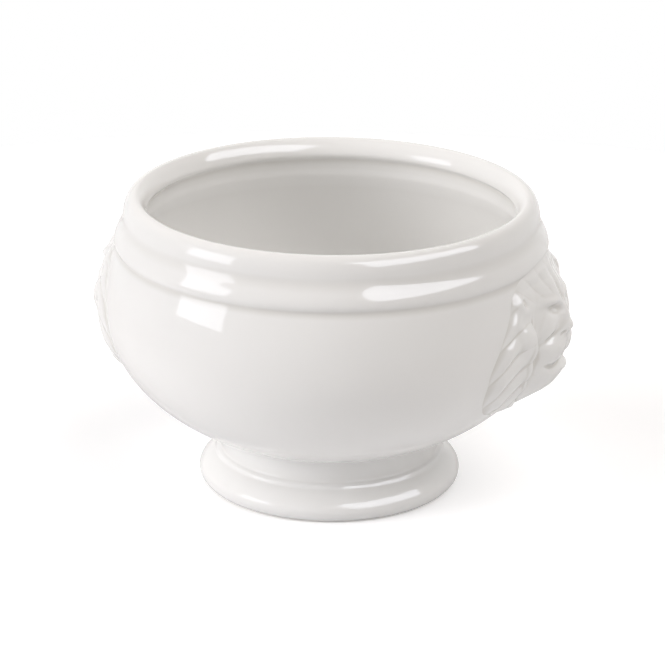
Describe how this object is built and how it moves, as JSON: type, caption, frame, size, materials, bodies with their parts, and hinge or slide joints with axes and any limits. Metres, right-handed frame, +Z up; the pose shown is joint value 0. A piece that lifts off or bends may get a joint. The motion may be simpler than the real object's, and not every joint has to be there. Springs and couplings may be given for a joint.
{
  "type": "lion-head soup bowl",
  "caption": "Round glazed porcelain soup bowl on a hollow pedestal foot, with a rolled rim, a rounded band and lion-head masks on opposite sides.",
  "frame": {"origin": "on the table, at the centre of the foot's contact ring", "axes": "+Z up along the bowl's axis, +X towards the right lion head, so X runs through both heads"},
  "size_m": [0.1326, 0.1204, 0.08],
  "materials": {
    "glazed_porcelain": "clear glossy glaze over white porcelain",
    "fired_slip": "unglazed fired clay slip, matte"
  },
  "bodies": {
    "root": {"bowl": "glazed_porcelain", "foot": "glazed_porcelain", "lion_head_left": "glazed_porcelain", "lion_head_right": "glazed_porcelain", "foot_slip": "fired_slip", "lion_slip_left": "fired_slip", "lion_slip_right": "fired_slip"}
  },
  "joints": []
}
